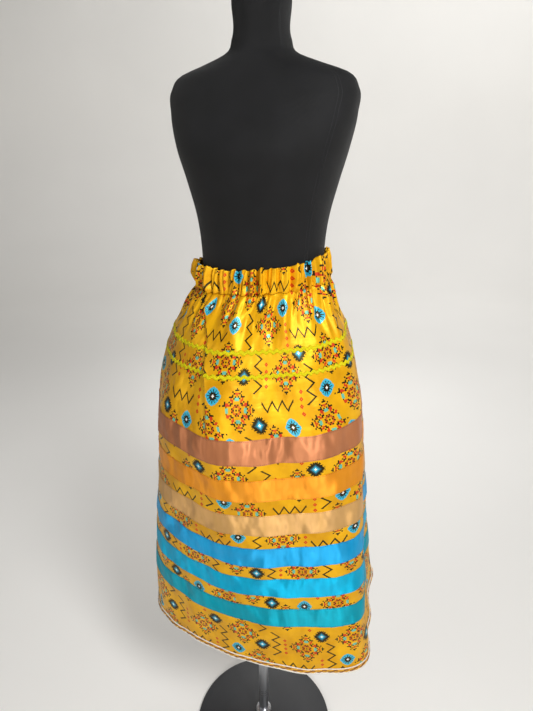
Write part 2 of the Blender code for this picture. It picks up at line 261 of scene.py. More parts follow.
# Seen from the photograph's side: 534 pixels of focal length in a 533 by 711 frame
PHOTO_HEIGHT = 711
FOCAL_PIXELS = 534.0
CAMERA_TURN = 20.0
CAMERA_TILT = 22.4
CAMERA_DISTANCE = 1.04
CAMERA_ASIDE = 0.008
CAMERA_HEIGHT = 1.58

# Quarter charts of the print, middle row first and the middle square of each row first.
# All are mirrored across and up. K is black ink, R red, O rust, T green, B and N blues, W white.
INKS = {"K": "#0E0C0B", "R": "#C8321A", "O": "#C65C16", "T": "#63B7A2",
        "B": "#2FAFCE", "N": "#155E78", "W": "#F6F3EA"}
STEPPED_CROSS = (
    "K.KO..TT.RO.KK",
    "..OK..TTK.R.K.",
    "KOO....K..K...",
    "OK..KRR.KK.K..",
    "...KK.RRK.....",
    "...R.K..K.....",
    "TT.RR.........",
    "TTKRR.........",
    ".K.KKK........",
    "R..K..........",
    "ORK...........",
    "...K..........",
    "KK............",
    "K.............",
)
STAR_DIAMOND = (
    "WWKKKKKBB",
    "WKKKBBBBB",
    "KKKKKBBB.",
    "KKKBBKB..",
    "KBKBBBB..",
    "KBBKBB...",
    "KBBBB....",
    "BBBB.....",
    "BB.......",
)
BURST = (
    "WWBBNNKKK",
    "WBBNNKKK.",
    "BBNNKKKKK",
    "BNNKKKK..",
    "NNKKKKKK.",
    "NKKKK.K..",
    "KKKKK....",
    "KKK.K....",
    "KK.......",
    "K.K......",
)

# Where each shape of the print stands in its repeat, millimetres of flat cloth
REPEAT_MM = (248.0, 216.0)
CROSSES = (
    # across, down, lies_sideways
    (90.0, 66.0, False),
    (222.0, 102.0, False),
    (150.0, 34.0, True),
    (118.0, 166.0, True),
    (14.0, 190.0, True),
)
STARS = (
    # across, down, lies_sideways
    (126.0, 98.0, False),
    (16.0, 70.0, False),
    (102.0, 10.0, False),
)
BURSTS = (
    # across, down, lies_sideways
    (192.0, 62.0, True),
    (50.0, 156.0, True),
    (162.0, 192.0, True),
)
ZIGZAGS = (
    # across, down, runs_down
    (72.0, 120.0, False),
    (240.0, 32.0, False),
    (68.0, 212.0, True),
    (194.0, 186.0, True),
    (166.0, 116.0, True),
)
CHAINS = (
    # across, down, lies_sideways
    (46.0, 28.0, False),
    (214.0, 192.0, False),
    (24.0, 120.0, False),
)
# Each charted shape and the size of its squares, millimetres
CHARTED = ((CROSSES, STEPPED_CROSS, 2.9), (STARS, STAR_DIAMOND, 1.9), (BURSTS, BURST, 1.9))


def linear(code):
    """Linear red, green and blue of an sRGB hex colour such as #F5B80A."""
    parts = [int(code[i:i + 2], 16) / 255 for i in (1, 3, 5)]
    return tuple(c / 12.92 if c <= 0.04045 else ((c + 0.055) / 1.055) ** 2.4 for c in parts)


def columns(table):
    """The table's columns as arrays."""
    return np.array(table, float).T


def bell(away, width):
    """A bell curve: e to the power of minus the square of away over width."""
    return np.exp(-((away / width) ** 2))


def share_of(x, start, end):
    """How far x has come from start to end, from 0 to 1 and no further."""
    return np.clip((x - start) / (end - start), 0.0, 1.0)


def turned_from(turns, middle):
    """Degrees from the middle, the short way round."""
    return (turns - middle + 180.0) % 360.0 - 180.0


def by_gather(phase, values):
    """Each gather's own value at its peak, in straight lines from one peak to the next."""
    return np.interp(phase, np.arange(GATHERS), values, period=GATHERS)


def smooth_value(x, knots, values):
    """Cubic curve through the knots, each knot's slope taken from its neighbours."""
    knots, values = np.asarray(knots, float), np.asarray(values, float)
    slopes = np.gradient(values, knots)
    x = np.clip(np.asarray(x, float), knots.min(), knots.max())
    low = np.clip(np.searchsorted(knots, x) - 1, 0, len(knots) - 2)
    span = knots[low + 1] - knots[low]
    t = (x - knots[low]) / span
    return ((2 * t**3 - 3 * t**2 + 1) * values[low] + (t**3 - 2 * t**2 + t) * span * slopes[low]
            + (3 * t**2 - 2 * t**3) * values[low + 1] + (t**3 - t**2) * span * slopes[low + 1])


def ring_points(turns, half_width, front, back, square, shift=0.0):
    """A section: |x / half width| to the power square plus |y / depth| to it is one."""
    angle = np.radians(turns)
    depth = np.where(np.cos(angle) > 0.0, front, back)
    way = np.arctan2(half_width * np.sin(angle), depth * np.cos(angle))
    across, along = np.abs(np.sin(way) / half_width), np.abs(np.cos(way) / depth)
    radius = (across**square + along**square) ** (-1.0 / square)
    return shift + radius * np.sin(way), -radius * np.cos(way)


class Unevenness:
    """Seeded sizes that make gathers, tucks and small creases differ from one another."""

    def __init__(self):
        pick = np.random.default_rng(11)
        self.size = pick.uniform(0.50, 1.30, GATHERS)
        self.aside = pick.uniform(-0.24, 0.24, GATHERS)
        self.lift = pick.uniform(-1.0, 1.0, GATHERS)
        self.reach = pick.uniform(0.45, 1.80, GATHERS)
        self.length_mm = pick.uniform(45.0, 150.0, CREASES)
        self.way = pick.uniform(-0.9, 0.9, CREASES)
        self.start = pick.uniform(0.0, 2 * math.pi, CREASES)
        self.height_mm = pick.uniform(0.15, 0.48, CREASES)
        self.split_at = pick.uniform(-0.24, 0.24, GATHERS)
        self.split_mm = pick.uniform(0.5, 8.0, GATHERS)
        self.split_slant = pick.uniform(-7.0, 7.0, GATHERS)


UNEVEN = Unevenness()


def gather_phase(turns, drops):
    """Which gather a place is in, counted from the front; whole numbers are peaks.

    Each gather stands a little aside of its even place and leans as it falls, by a sine of
    five times the turn.
    """
    phase = turns / 360.0 * GATHERS
    lean = 1.2 * drops * np.sin(np.radians(5 * turns + 30))
    return phase + by_gather(phase, UNEVEN.aside) + lean


def gather_rise(turns, drops, roundness):
    """From 0 in a valley to about 1 on a peak: |cos| of half the phase, to the roundness."""
    phase = gather_phase(turns, drops)
    return by_gather(phase, UNEVEN.size) * np.abs(np.cos(np.pi * phase)) ** roundness


def gather_split(turns, drops):
    """A narrow slanting tuck that parts each gather in two: a bell curve near its peak, in mm."""
    phase = gather_phase(turns, drops)
    nearest = np.rint(phase).astype(int)
    number = nearest % GATHERS
    middle = UNEVEN.split_at[number] + UNEVEN.split_slant[number] * (drops - TUCK_MIDDLE)
    return UNEVEN.split_mm[number] * bell(phase - nearest - middle, TUCK_WIDTH)


def crumple(turns, drops):
    """Small creases: a sum of plain waves that run in differing ways across the cloth."""
    across = turns / 360.0 * CLOTH_ROUND_MM
    down = drops * 1000.0
    total = np.zeros(np.broadcast(turns, drops).shape)
    waves = zip(UNEVEN.length_mm, UNEVEN.way, UNEVEN.start, UNEVEN.height_mm)
    for length, way, start, height in waves:
        run = across * math.cos(way) + down * math.sin(way)
        total = total + height * np.sin(2 * math.pi * run / length + start)
    return total


def pleat_turn(drops):
    """Turn of the pleat's line at a drop, in straight lines from row to row of its table."""
    drop, turn, _ = columns(PLEAT)
    return np.interp(drops, drop, turn)


def pleat_step(turns, drops):
    """The pleat, in mm: a steep S-curve out at its line, which dies away to either side."""
    drop, _, step = columns(PLEAT)
    away = turns - pleat_turn(drops)
    height = np.interp(drops, drop, step)
    rise = 0.5 + 0.5 * np.tanh(away / PLEAT_EDGE)
    ahead = rise * np.exp(-np.maximum(away, 0.0) / PLEAT_AHEAD)
    behind = PLEAT_HOLLOW * (1.0 - rise) * np.exp(np.minimum(away, 0.0) / PLEAT_BEHIND)
    return height * (ahead - behind)


def sewn_edges():
    """Drops of all the ribbons' sewn edges."""
    tops = FIRST_RIBBON_DROP + RIBBON_PITCH * np.arange(len(RIBBON_NAMES))
    return np.sort(np.concatenate([tops + SEWN_INSIDE, tops + RIBBON_WIDTH - SEWN_INSIDE]))


def puckers(turns, drops):
    """Seams draw the cloth up, in mm: sine waves beside each sewn edge, ended by a bell curve.

    Each edge has its own count of waves, of slow beats in their size and of drifts aside.
    """
    total = np.zeros(np.broadcast(turns, drops).shape)
    for number, edge in enumerate(sewn_edges()):
        waves, beats = 66 + 7 * (number % 3), 5 + number % 4
        beat = 0.6 + 0.4 * np.sin(np.radians(beats * turns + 70 * number))
        drift = 1.5 * np.sin(np.radians(13 * turns))
        wave = np.sin(np.radians(waves * turns + 97 * number) + drift)
        total = total + PUCKER_MM * beat * wave * bell(drops - edge, PUCKER_REACH)
    return total


def cloth_wave(turns, drops):
    """How far the cloth stands out from the plain section, in metres: a sum of shapes.

    They are the gathers (waves as tall and round as their table says, some ending sooner), the
    pinch at the sewn line, the tucks, the soft folds (a bell curve across and half a sine
    down), the large folds (a bell curve across, its size in straight lines down), the pleat,
    the creases and the puckers.
    """
    drop, wave_mm, roundness = columns(GATHER_WAVES)
    reach = by_gather(gather_phase(turns, drops), UNEVEN.reach)
    run = np.minimum(drops, SEWN_LINE) + np.maximum(drops - SEWN_LINE, 0.0) / reach
    rise = gather_rise(turns, drops, np.interp(run, drop, roundness))
    wave = np.interp(run, drop, wave_mm) * (2.0 * rise - 1.0)
    wave = wave - PINCH_MM * (1.2 - rise) * bell(drops - PINCH_DROP, PINCH_REACH)
    wave = wave - TUCK_SHARE * gather_split(turns, drops) * share_of(drops, *TUCK_ENDS)
    for turn, width, top, end, size_mm in LOOSE_FOLDS:
        down = np.sin(np.pi * share_of(drops, top, end) ** 0.6)
        wave = wave + size_mm * down * bell(turned_from(turns, turn), width)
    share = (drops - FOLD_DROPS[0]) / (FOLD_DROPS[2] - FOLD_DROPS[0])
    for turn_waist, turn_hem, width, *sizes_mm in FOLDS:
        middle = turn_waist + (turn_hem - turn_waist) * share
        size = np.interp(drops, FOLD_DROPS, sizes_mm)
        wave = wave + size * bell(turned_from(turns, middle), width)
    creases = share_of(drops, *CREASES_BEGIN) * crumple(turns, drops)
    return (wave + pleat_step(turns, drops) + creases + puckers(turns, drops)) / 1000.0


def waist_rise(turns):
    """The waist edge rides up on its left by a sine, and behind by one less a cosine."""
    angle = np.radians(turns)
    return RISE_LEFT * np.sin(angle) + RISE_BEHIND * (1.0 - np.cos(angle))


def skirt_at(turns, drops):
    """Outer face of the cloth: the section's point, moved out along its normal by the wave.

    Its height is the waist's less the drop. To it come the waist's rise, gone at the first
    ribbon, a slow sway, and scallops at the sewn line, up in the gathers' valleys.
    """
    turns, drops = np.broadcast_arrays(np.asarray(turns, float), np.asarray(drops, float))
    table = columns(SKIRT_SECTIONS)
    sizes = [smooth_value(drops, table[0], values) for values in table[1:]]
    x, y = ring_points(turns, *sizes)
    x_next, y_next = ring_points(turns + 0.5, *sizes)
    x_last, y_last = ring_points(turns - 0.5, *sizes)
    length = np.hypot(x_next - x_last, y_next - y_last)
    wave = cloth_wave(turns, drops)
    x = x + wave * (y_next - y_last) / length
    y = y - wave * (x_next - x_last) / length
    rise = waist_rise(turns) * share_of(drops, FIRST_RIBBON_DROP, 0.0)
    sway = SWAY * np.sin(np.radians(4 * turns) + 9 * drops) * share_of(drops, 0.0, 0.2)
    peak = gather_rise(turns, drops, 1.2)
    scallop = SCALLOP * (0.5 - peak) * bell(drops - SEWN_LINE, SCALLOP_REACH)
    return np.stack([x, y, WAIST_HEIGHT - drops + rise + sway + scallop], axis=-1)


def out_of_cloth(turns, drops):
    """Unit normals of the cloth: the cross product of its slopes across and up."""
    aside, above = 0.35, 0.002
    across = skirt_at(turns + aside, drops) - skirt_at(turns - aside, drops)
    up = skirt_at(turns, drops - above) - skirt_at(turns, drops + above)
    normal = np.cross(across, up)
    return normal / np.linalg.norm(normal, axis=-1, keepdims=True)


def form_at(turns, heights):
    """Surface of the dress form: a smooth section at each height."""
    table = columns(FORM_SECTIONS)
    turns, heights = np.broadcast_arrays(np.asarray(turns, float), np.asarray(heights, float))
    x, y = ring_points(turns, *[smooth_value(heights, table[0], values) for values in table[1:]])
    return np.stack([x, y, heights], axis=-1)


def out_of_axis(points):
    """Unit vectors that point level, straight away from the pole's axis."""
    level = points * (1.0, 1.0, 0.0)
    return level / np.linalg.norm(level, axis=-1, keepdims=True)


def cloth_uv(turns, drops, centre=0.0):
    """Place in the flat cloth, metres: its width from the hem's arc, its length down the slope.

    The cloth is cut a little wider at the hem, about the panel's centre. The pleat takes up
    cloth, so what is printed there goes out of sight.
    """
    fine = np.linspace(-180.0, 270.0, 1801)
    table = columns(SKIRT_SECTIONS)
    x, y = ring_points(fine, *[values[-1] for values in table[1:]])
    arc = path_length(np.stack([x, y], axis=-1))
    depth = np.linspace(0.0, SKIRT_LENGTH, 400)
    mean = (smooth_value(depth, table[0], table[1]) + smooth_value(depth, table[0], table[2])) / 2
    slope = path_length(np.stack([mean, depth], axis=-1))
    away = turns - pleat_turn(drops)
    hidden = PLEAT_TAKE_UP * (0.5 + 0.5 * np.tanh(away / 0.5))
    hidden = hidden * share_of(drops, FIRST_RIBBON_DROP, FIRST_RIBBON_DROP - 0.05)
    flare = np.interp(drops, (FIRST_RIBBON_DROP, SKIRT_LENGTH), (CUT_TOP_SHARE, 1.0))
    middle = np.interp(centre, fine, arc)
    across = middle + (np.interp(turns, fine, arc) - middle) * flare
    return np.stack([across + hidden, np.interp(drops, depth, slope)], axis=-1)


def new_piece(name, points, faces, made_of):
    """A smooth mesh of one material, on the part's one body."""
    mesh = bpy.data.meshes.new(name)
    mesh.from_pydata(points.reshape(-1, 3).tolist(), [], faces)
    mesh.shade_smooth()
    mesh.materials.append(made_of)
    obj = bpy.data.objects.new(name, mesh)
    bpy.context.scene.collection.objects.link(obj)
    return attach(obj, "root")


def grid_piece(name, points, made_of, uv=None, closed=(False, False), capped=False):
    """A surface through a grid of points, rows running down and columns towards +X in front.

    Its faces look outwards. Closed joins the last row to the first, and the last column
    to the first. Capped covers the first and last rings. The cloth places in uv have a
    row or a column more where the surface is closed.
    """
    rows, count = points.shape[:2]
    index = np.arange(rows * count).reshape(rows, count)
    if closed[0]:
        index = np.vstack([index, index[:1]])
    if closed[1]:
        index = np.hstack([index, index[:, :1]])
    corners = [np.s_[:-1, :-1], np.s_[1:, :-1], np.s_[1:, 1:], np.s_[:-1, 1:]]
    faces = np.stack([index[corner] for corner in corners], axis=-1).reshape(-1, 4).tolist()
    if capped:
        faces += [index[0, :-1].tolist(), index[-1, :-1][::-1].tolist()]
    obj = new_piece(name, points, faces, made_of)
    if uv is not None:
        flat = np.stack([uv[corner] for corner in corners], axis=2)
        obj.data.uv_layers.new(name="cloth").data.foreach_set("uv", flat.ravel())
    return obj


def add_wall(obj, thickness):
    """Cloth thickness, towards the body."""
    wall = obj.modifiers.new("cloth wall", "SOLIDIFY")
    wall.thickness = thickness
    wall.offset = -1.0


def tube_piece(name, centres, outs, radius, sides, made_of):
    """A closed cord: a circle of points about each centre, in the plane across the path."""
    tangents = np.roll(centres, -1, axis=0) - np.roll(centres, 1, axis=0)
    tangents /= np.linalg.norm(tangents, axis=-1, keepdims=True)
    outs = outs - tangents * np.sum(outs * tangents, axis=-1, keepdims=True)
    outs /= np.linalg.norm(outs, axis=-1, keepdims=True)
    ups = np.cross(outs, tangents)
    angle = -2 * np.pi * np.arange(sides + 1) / sides
    points = (centres[None] + radius * np.cos(angle)[:, None, None] * outs[None]
              + radius * np.sin(angle)[:, None, None] * ups[None])
    along = path_length(np.vstack([centres, centres[:1]]))
    uv = np.stack(np.broadcast_arrays(along[None, :], radius * angle[:, None]), axis=-1)
    return grid_piece(name, points[:-1], made_of, uv, closed=(True, True))


def path_length(points):
    """Distance along a path at each of its points: the sum of the steps so far."""
    steps = np.linalg.norm(np.diff(points, axis=0), axis=-1)
    return np.concatenate([[0.0], np.cumsum(steps)])


def turned_piece(name, profile, made_of, capped=True):
    """A turned shape: (radius, height) points carried round the pole's axis, top to bottom."""
    radius, height = np.array(profile, float).T[..., None]
    angle = np.radians(np.arange(0.0, 360.0, 3.75))
    sweep = (radius * np.sin(angle), -radius * np.cos(angle), height)
    points = np.stack(np.broadcast_arrays(*sweep), axis=-1)
    obj = grid_piece(name, points, made_of, closed=(False, True), capped=capped)
    obj.data.set_sharp_from_angle(angle=math.radians(40))
    return obj


def rounded(points, size):
    """A profile with each inner corner cut to a quadratic curve that begins size before it."""
    made = [points[0]]
    for before, corner, after in zip(points[:-2], points[1:-1], points[2:]):
        before, corner, after = np.array(before), np.array(corner), np.array(after)
        start = corner + (before - corner) / np.linalg.norm(before - corner) * size
        end = corner + (after - corner) / np.linalg.norm(after - corner) * size
        for t in np.linspace(0.0, 1.0, 6):
            made.append(tuple((1 - t) ** 2 * start + 2 * t * (1 - t) * corner + t**2 * end))
    made.append(points[-1])
    return made


def feed(node, inputs):
    """Set each of a node's inputs to a value, or link the socket that feeds it."""
    for key, value in inputs.items() if isinstance(inputs, dict) else enumerate(inputs):
        if isinstance(value, bpy.types.NodeSocket):
            node.id_data.links.new(value, node.inputs[key])
        else:
            node.inputs[key].default_value = value


def add_node(tree, kind, inputs=(), out=0, **settings):
    """Add a node with its settings and links; out says which output comes back, None all."""
    node = tree.nodes.new(kind)
    for key, value in settings.items():
        setattr(node, key, value)
    feed(node, inputs)
    return node.outputs if out is None else node.outputs[out]


def solid(colour):
    """An sRGB hex colour as linear red, green, blue and full alpha."""
    return (*linear(colour), 1.0)


def new_material(name, colour, roughness, **sockets):
    """A Principled material; the sockets are set straight on the shader."""
    made = bpy.data.materials.new(name)
    made.use_nodes = True
    shader = made.node_tree.nodes["Principled BSDF"]
    named = {key.replace("_", " "): value for key, value in sockets.items()}
    feed(shader, {"Base Color": solid(colour), "Roughness": roughness, **named})
    return made, made.node_tree, shader


def new_satin(name, colour, roughness, **sockets):
    """A satin whose gloss is drawn out up and down the cloth, as its long floats do in life."""
    made, tree, shader = new_material(name, colour, roughness, Anisotropic_Rotation=0.25, **sockets)
    feed(shader, {"Tangent": add_node(tree, "ShaderNodeTangent", direction_type="UV_MAP", uv_map="cloth")})
    return made, tree, shader


def from_middle(tree, cloth, across, down):
    """Place in millimetres from a shape's middle, in the repeat whose shape is nearest."""
    wide, high = REPEAT_MM[0] / 2, REPEAT_MM[1] / 2
    away = add_node(tree, "ShaderNodeVectorMath", [cloth, (across, down, 0.0)], operation="SUBTRACT")
    tile = [away, (wide, high, 1.0), (-wide, -high, -1.0)]
    return add_node(tree, "ShaderNodeVectorMath", tile, operation="WRAP")


def shape_places(tree, cloth, places, reach):
    """Absolute distances in millimetres from the middle of the nearest shape, and 1 near one."""
    spot, near = (0.0, 0.0, 0.0), 0.0
    for across, down, sideways in places:
        away = from_middle(tree, cloth, across, down)
        away = add_node(tree, "ShaderNodeVectorMath", [away], operation="ABSOLUTE")
        x, y, _ = add_node(tree, "ShaderNodeSeparateXYZ", [away], out=None)
        if sideways:
            away = add_node(tree, "ShaderNodeCombineXYZ", [y, x])
        far = add_node(tree, "ShaderNodeMath", [x, y], operation="MAXIMUM")
        mask = add_node(tree, "ShaderNodeMath", [far, reach], operation="LESS_THAN")
        spot = add_node(tree, "ShaderNodeVectorMath", [away, mask, spot], operation="MULTIPLY_ADD")
        near = add_node(tree, "ShaderNodeMath", [near, mask], operation="ADD")
    return spot, near


def charted_shape(tree, ground, spot, near, chart, step):
    """Print a quarter chart: the row picks a stepped ramp of inks, which the column reads."""
    width = len(chart[0])
    x, y, _ = add_node(tree, "ShaderNodeSeparateXYZ", [spot], out=None)
    column = add_node(tree, "ShaderNodeMath", [x, 1 / (step * width), 0.5 / width], operation="MULTIPLY_ADD")
    row_place = add_node(tree, "ShaderNodeMath", [y, 1 / step], operation="MULTIPLY")
    for number, row in enumerate(chart):
        ramp = tree.nodes.new("ShaderNodeValToRGB")
        feed(ramp, [column])
        inks = ramp.color_ramp
        inks.interpolation = "CONSTANT"
        squares = enumerate(row + ".")
        cells = [(i, ink) for i, ink in squares if i == 0 or ink != (row + ".")[i - 1]]
        for place, ink in cells[1:-1]:
            inks.elements.new(place / width)
        inks.elements[-1].position = cells[-1][0] / width
        for element, (_, ink) in zip(inks.elements, cells):
            element.color = (0.0, 0.0, 0.0, 0.0) if ink == "." else solid(INKS[ink])
        here = add_node(tree, "ShaderNodeMath", [row_place, float(number), 0.5], operation="COMPARE")
        here = add_node(tree, "ShaderNodeMath", [here, ramp.outputs["Alpha"]], operation="MULTIPLY")
        here = add_node(tree, "ShaderNodeMath", [here, near], operation="MULTIPLY")
        mixed = {0: here, 6: ground, 7: ramp.outputs["Color"]}
        ground = add_node(tree, "ShaderNodeMix", mixed, out=2, data_type="RGBA")
    return ground


def lined_shapes(tree, ground, cloth, places, shape, ink):
    """Print a drawn shape at each place; shape gives 1 on its ink from the place's x and y."""
    drawn = 0.0
    for across, down, sideways in places:
        away = from_middle(tree, cloth, across, down)
        x, y, _ = add_node(tree, "ShaderNodeSeparateXYZ", [away], out=None)
        mask = shape(tree, y, x) if sideways else shape(tree, x, y)
        drawn = add_node(tree, "ShaderNodeMath", [drawn, mask], operation="MAXIMUM")
    mixed = {0: drawn, 6: ground, 7: solid(ink)}
    return add_node(tree, "ShaderNodeMix", mixed, out=2, data_type="RGBA")


def zigzag(tree, x, y):
    """Three points of a thin zigzag, 72 mm long and 17 mm high: 1 where y is near its line."""
    rise = add_node(tree, "ShaderNodeMath", [x, 12.0], operation="PINGPONG")
    level = add_node(tree, "ShaderNodeMath", [rise, -17.0 / 12.0, 8.5], operation="MULTIPLY_ADD")
    away = add_node(tree, "ShaderNodeMath", [y, level, 2.7], operation="COMPARE")
    within = add_node(tree, "ShaderNodeMath", [x, 0.0, 37.0], operation="COMPARE")
    return add_node(tree, "ShaderNodeMath", [away, within], operation="MULTIPLY")


def diamond_chain(tree, x, y):
    """Four small open diamonds 13 mm apart: 1 where |x| plus |y| from a middle is near 2.7 mm."""
    beside = add_node(tree, "ShaderNodeMath", [x], operation="ABSOLUTE")
    shifted = add_node(tree, "ShaderNodeMath", [y, 6.5], operation="ADD")
    along = add_node(tree, "ShaderNodeMath", [shifted, 6.5], operation="PINGPONG")
    size = add_node(tree, "ShaderNodeMath", [beside, along], operation="ADD")
    ring = add_node(tree, "ShaderNodeMath", [size, 2.7, 1.7], operation="COMPARE")
    within = add_node(tree, "ShaderNodeMath", [y, 0.0, 26.0], operation="COMPARE")
    return add_node(tree, "ShaderNodeMath", [ring, within], operation="MULTIPLY")


def flat_cloth_mm(tree):
    """Place in the flat cloth in millimetres, from the piece's own cloth map."""
    cloth = add_node(tree, "ShaderNodeUVMap", uv_map="cloth")
    return add_node(tree, "ShaderNodeVectorMath", {0: cloth, "Scale": 1000.0}, operation="SCALE")


def streaks(tree, place, scale, detail=3.0):
    """Noise drawn out by the scale, which is how many spots there are to a unit of the place."""
    drawn = add_node(tree, "ShaderNodeMapping", {0: place, "Scale": scale})
    return add_node(tree, "ShaderNodeTexNoise", {"Vector": drawn, "Scale": 1.0, "Detail": detail})


def two_tone(tree, factor, low, high, colours):
    """A mix of two colours as factor goes from low to high."""
    share = add_node(tree, "ShaderNodeMapRange", [factor, low, high, 0.0, 1.0])
    mixed = {0: share, 6: colours[0], 7: colours[1]}
    return add_node(tree, "ShaderNodeMix", mixed, out=2, data_type="RGBA")


def printed_satin(tone_and_painted_sheen_colours):
    """Printed polyester satin: part metallic, because dyed filament mirrors light in its own colour.

    That and the golden tint give the eye a warm gloss that never turns white. Soft creases
    break the gloss up. The ground mixes a darker and a lighter yellow in soft patches: partly
    random tone, and partly painted sheen on the lighter patches. The threads and the drag
    lines across the cloth are drawn coarser than life, so that they show.
    """
    made, tree, shader = new_satin("printed polyester satin", "#E8A512", 0.46, Metallic=0.22,
                                   Anisotropic=0.35, Specular_IOR_Level=0.6,
                                   Specular_Tint=(1.0, 0.80, 0.26, 1.0))
    cloth = flat_cloth_mm(tree)
    # Soft patches of the lighter yellow: partly random tone, partly painted sheen
    cloud = streaks(tree, cloth, (1 / 55.0, 1 / 80.0, 1.0))
    ground = two_tone(tree, cloud, 0.35, 0.65, tone_and_painted_sheen_colours)
    ground = lined_shapes(tree, ground, cloth, ZIGZAGS, zigzag, INKS["K"])
    ground = lined_shapes(tree, ground, cloth, CHAINS, diamond_chain, INKS["R"])
    for places, chart, step in CHARTED:
        spot, near = shape_places(tree, cloth, places, step * (len(chart) - 0.5))
        ground = charted_shape(tree, ground, spot, near, chart, step)
    threads = streaks(tree, cloth, (1 / 1.4, 1 / 22.0, 1.0))
    crease = streaks(tree, cloth, (1 / 60.0, 1 / 75.0, 1.0), 2.0)
    drag = streaks(tree, cloth, (1 / 90.0, 1 / 12.0, 1.0), 2.0)
    over = add_node(tree, "ShaderNodeBump", {"Height": threads, "Distance": 0.00012, "Strength": 0.12})
    for height, distance in ((crease, 0.011), (drag, 0.0012)):
        bump = {"Height": height, "Distance": distance, "Strength": 0.8, "Normal": over}
        over = add_node(tree, "ShaderNodeBump", bump)
    feed(shader, {"Base Color": ground, "Normal": over})
    return made


def ribbon_satin(name, colours):
    """Single-faced satin ribbon: half metallic, as its dense dyed floats mirror in their colour.

    That gives the eye wide patches of deep-coloured gloss, broken into upright streaks by the
    sewing. Its colour mixes the darker and the lighter satin in upright streaks: partly random
    tone, partly painted sheen. The threads are drawn coarser than life, so that they show.
    """
    made, tree, shader = new_satin(name, colours[0], 0.48, Metallic=0.50, Anisotropic=0.9,
                                   Specular_IOR_Level=0.30)
    cloth = flat_cloth_mm(tree)
    # Upright streaks of the lighter satin: partly random tone, partly painted sheen
    cloud = streaks(tree, cloth, (1 / 22.0, 1 / 120.0, 1.0))
    ground = two_tone(tree, cloud, 0.35, 0.68, [solid(colour) for colour in colours])
    crease = streaks(tree, cloth, (1 / 52.0, 1 / 80.0, 1.0), 1.5)
    threads = streaks(tree, cloth, (1 / 1.0, 1 / 12.0, 1.0))
    over = add_node(tree, "ShaderNodeBump", {"Height": crease, "Distance": 0.0200, "Strength": 0.9})
    fine = {"Height": threads, "Distance": 0.00008, "Strength": 0.3, "Normal": over}
    feed(shader, {"Base Color": ground, "Normal": add_node(tree, "ShaderNodeBump", fine)})
    return made


def plied(name, colours, roughness, scale, uneven, tones, depth, **sockets):
    """Slanting plies of thread: grooves and ridges, darker in the grooves as painted shade and lighter on
    the ridges as painted light.

    The plies are drawn coarser than life, so that they show.
    """
    made, tree, shader = new_material(name, colours[0], roughness, **sockets)
    bands = {"Vector": flat_cloth_mm(tree), "Scale": scale, "Distortion": uneven}
    ply = add_node(tree, "ShaderNodeTexWave", bands, bands_direction="DIAGONAL")
    # Darker in the plies' grooves and lighter on their ridges: painted shade and painted light
    ground = two_tone(tree, ply, *tones, [solid(colour) for colour in colours])
    groove = add_node(tree, "ShaderNodeBump", {"Height": ply, "Distance": depth[0], "Strength": depth[1]})
    feed(shader, {"Base Color": ground, "Normal": groove})
    return made


def braid_cotton(colours):
    """Woven rickrack: matt slanting plaits, which give the eye its dry, ropy look; the olive in their
    grooves is painted shade.
    """
    return plied("woven rickrack braid", colours, 0.62, 0.32, 0.6, (0.2, 0.8), (0.0004, 0.7),
                 Specular_IOR_Level=0.2)


def twisted_thread(name, colours):
    """Thick sewing thread: slanting plies with a little fuzz, which gives the eye a soft rim; the darker
    colour in their grooves is painted shade.
    """
    return plied(name, colours, 0.55, 0.45, 0.3, (0.1, 0.9), (0.00035, 0.8), Sheen_Weight=0.2)


def black_jersey():
    """Stretch knit: a soft black with fine upright wales, 1.3 mm apart here so that they show.

    The wales are the sine of 520 times the angle round the pole, and the rows of loops the
    sine of 4200 times the height.
    """
    made, tree, shader = new_material("black stretch jersey", "#08080A", 0.75,
                                      Specular_IOR_Level=0.3, Sheen_Weight=0.05)
    place = add_node(tree, "ShaderNodeTexCoord", out="Object")
    x, y, z = add_node(tree, "ShaderNodeSeparateXYZ", [place], out=None)
    turn = add_node(tree, "ShaderNodeMath", [x, y], operation="ARCTAN2")
    wales = add_node(tree, "ShaderNodeMath", [turn, 520.0], operation="MULTIPLY")
    wales = add_node(tree, "ShaderNodeMath", [wales], operation="SINE")
    courses = add_node(tree, "ShaderNodeMath", [z, 4200.0], operation="MULTIPLY")
    courses = add_node(tree, "ShaderNodeMath", [courses], operation="SINE")
    knit = add_node(tree, "ShaderNodeMath", [courses, 0.5, wales], operation="MULTIPLY_ADD")
    cloud = add_node(tree, "ShaderNodeTexNoise", {"Vector": place, "Scale": 22.0, "Detail": 4.0})
    ground = two_tone(tree, cloud, 0.35, 0.7, (solid("#060607"), solid("#0C0C0E")))
    loops = add_node(tree, "ShaderNodeBump", {"Height": knit, "Distance": 0.00022, "Strength": 0.5})
    feed(shader, {"Base Color": ground, "Normal": loops})
    return made


def brushed_steel():
    """Steel tube, drawn and wiped: fine lines along it, and three faint rings where a collar slid.

    The lines vary its roughness, which gives the eye the long streaks of drawn metal.
    """
    made, tree, shader = new_material("brushed steel tube", "#C4C6CA", 0.3, Metallic=1.0)
    place = add_node(tree, "ShaderNodeTexCoord", out="Object")
    lines = streaks(tree, place, (700.0, 700.0, 9.0))
    height = add_node(tree, "ShaderNodeSeparateXYZ", [place], out=2)
    rings = 0.0
    for level in (0.118, 0.127, 0.134):
        ring = add_node(tree, "ShaderNodeMath", [height, level, 0.0006], operation="COMPARE")
        rings = add_node(tree, "ShaderNodeMath", [rings, ring], operation="MAXIMUM")
    ground = two_tone(tree, lines, 0.3, 0.7, (solid("#B4B6BB"), solid("#D2D4D8")))
    mixed = {0: rings, 6: ground, 7: solid("#6E7076")}
    ground = add_node(tree, "ShaderNodeMix", mixed, out=2, data_type="RGBA")
    worn = add_node(tree, "ShaderNodeMapRange", [lines, 0.25, 0.75, 0.24, 0.42])
    grain = add_node(tree, "ShaderNodeBump", {"Height": lines, "Distance": 0.00004, "Strength": 0.4})
    feed(shader, {"Base Color": ground, "Roughness": worn, "Normal": grain})
    return made


